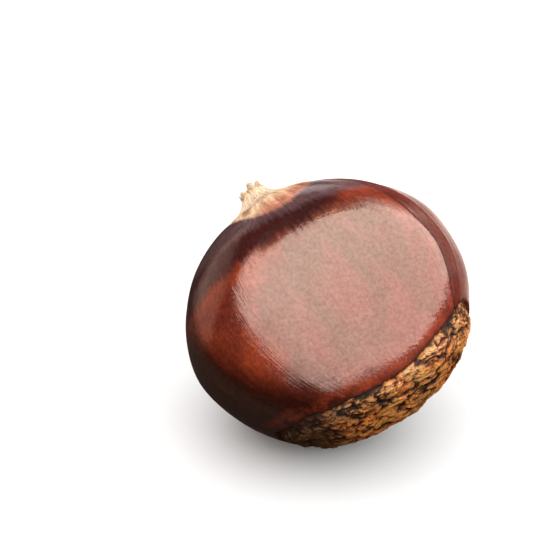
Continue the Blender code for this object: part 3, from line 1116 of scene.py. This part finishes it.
# The softbox: panels side by side in one plane, which the flat side mirrors as its highlight.
SOFTBOX_TOWARDS = (0.45, -0.20, 0.87)
SOFTBOX_ACROSS = (0.70, 0.69, -0.20)
# Each panel: its edges in that plane as shares of the distance, across from and to, then along from and
# to, and its share of the brightness.
SOFTBOX_PANELS = (
    (-1.42, -0.60, -0.80, 0.83, 1.0),
    (-0.60, 0.30, -0.40, 0.33, 1.0),
    (0.30, 0.90, -0.40, 0.55, 1.0),
    (0.90, 1.90, -0.34, 0.55, 1.0),
    (0.60, 1.90, 0.55, 0.92, 0.28),
)
SOFTBOX_RADIANCE = 8.1
SOFTBOX_COLOUR = (1.0, 0.85, 0.74)


def add_lamp(name, place, turned, size, radiance, colour):
    """A rectangular lamp at a place, as bright as asked at its face."""
    lamp = bpy.data.lights.new(name, "AREA")
    lamp.shape = "RECTANGLE"
    lamp.size, lamp.size_y = size
    lamp.energy = radiance * math.pi * size[0] * size[1]
    lamp.color = colour
    light = add_object(name, lamp)
    light.matrix_world = Matrix.Translation(place) @ turned
    light.visible_camera = False
    return light


def add_light(name, direction, size, radiance, colour):
    """A lamp that faces the nut from a direction."""
    away = Vector(direction).normalized()
    turned = away.to_track_quat("Z", "Y").to_matrix().to_4x4()
    return add_lamp(name, CENTRE + away * LIGHT_DISTANCE, turned, size, radiance, colour)


def add_softbox():
    """The panels, which light only what mirrors them."""
    away = Vector(SOFTBOX_TOWARDS).normalized()
    across = Vector(SOFTBOX_ACROSS)
    across = (across - away * across.dot(away)).normalized()
    along = away.cross(across)
    turned = Matrix((across, along, away)).transposed().to_4x4()
    for index, (left, right, low, high, share) in enumerate(SOFTBOX_PANELS):
        middle = away + across * (left + right) / 2 + along * (low + high) / 2
        size = ((right - left) * LIGHT_DISTANCE, (high - low) * LIGHT_DISTANCE)
        place = CENTRE + middle * LIGHT_DISTANCE
        name = "softbox_%d" % (index + 1)
        panel = add_lamp(name, place, turned, size, SOFTBOX_RADIANCE * share, SOFTBOX_COLOUR)
        panel.visible_diffuse = False


def add_lights():
    """The softbox, lamps that the polish doesn't mirror, and two dim cards."""
    add_softbox()
    for lamp in SOFT_LAMPS:
        add_light(*lamp).visible_glossy = False
    for card in MIRRORED_CARDS:
        add_light(*card)


# The room: how bright it is over the horizon and under it, and on the side that the nut's top and right
# edges mirror. A pair is where a change starts and ends, as the cosine of the angle to a direction.
SKY = (0.06, 0.055, 0.06)
UNDER = (0.045, 0.034, 0.028)
HORIZON = (-0.1, 0.3)
BRIGHT = (1.20, 1.00, 0.88)
BRIGHT_SIDE = (0.24, 0.86, -0.45)
BRIGHT_NEAR = (0.93, 0.985)
BRIGHT_ABOVE = (0.7, 0.0, 0.7)
BRIGHT_ABOVE_FROM = (-0.40, -0.33)


def facing(tree, direction, way):
    """How nearly a direction is the way asked."""
    inputs = {0: direction, 1: way}
    return node(tree, "ShaderNodeVectorMath", inputs, operation="DOT_PRODUCT").outputs["Value"]


def add_world():
    """Dim light from above, dark below, and a bright side behind to the right."""
    world = bpy.data.worlds.new("studio")
    bpy.context.scene.world = world
    world.use_nodes = True
    tree = world.node_tree
    direction = node(tree, "ShaderNodeTexCoord").outputs["Generated"]
    height = node(tree, "ShaderNodeSeparateXYZ", {0: direction}).outputs["Z"]
    sky = mix(tree, between(tree, height, *HORIZON), UNDER, SKY)
    near = between(tree, facing(tree, direction, BRIGHT_SIDE), *BRIGHT_NEAR)
    above = between(tree, facing(tree, direction, BRIGHT_ABOVE), *BRIGHT_ABOVE_FROM)
    sky = mix(tree, times(tree, near, above), sky, BRIGHT)
    set_inputs(tree.nodes["Background"], {"Color": sky})


FLOOR_HALF_SIDE = 1.5
FLOOR_GREY = (0.64, 0.64, 0.64, 1.0)
FLOOR_GLOW = 0.05


def add_floor():
    """A wide pale floor, which isn't part of the nut."""
    corners = np.array([[-1, -1, 0], [1, -1, 0], [1, 1, 0], [-1, 1, 0]]) * FLOOR_HALF_SIDE
    mesh = mesh_of("floor", corners, np.array([[0, 1, 2, 3]]))
    material, _, surface = new_material("floor_white")
    set_inputs(surface, {
        "Base Color": FLOOR_GREY,
        "Emission Color": (1.0, 1.0, 1.0, 1.0),
        "Emission Strength": FLOOR_GLOW,
        "Roughness": 0.9,
        "Specular IOR Level": 0.0,
    })
    mesh.materials.append(material)
    floor = add_object("floor", mesh)
    floor.visible_glossy = False
    floor.visible_diffuse = False


def add_camera():
    """A long lens at the photograph's viewing angle, aimed at the middle of its frame."""
    right, up, back = view_axes()
    across, down = (p - PHOTO_SIDE / 2 for p in CENTRE_PIXEL)
    aim = CENTRE - right * across * PIXEL + up * down * PIXEL
    lens = bpy.data.cameras.new("view")
    lens.sensor_width = SENSOR
    lens.lens = SENSOR * CAMERA_DISTANCE / (PHOTO_SIDE * PIXEL)
    camera = add_object("view", lens)
    turned = Matrix((right, up, back)).transposed().to_4x4()
    camera.matrix_world = Matrix.Translation(aim + back * CAMERA_DISTANCE) @ turned
    bpy.context.scene.camera = camera


def main():
    """Makes the nut's pieces, then the studio round them."""
    add_piece(shell_mesh(), shell_material())
    add_piece(crust_mesh(), scar_material())
    fibre = tuft_material()
    for mesh in tuft_meshes():
        add_piece(mesh, fibre)
    add_camera()
    add_lights()
    add_world()
    add_floor()
    bpy.context.scene.view_settings.view_transform = "Standard"


main()
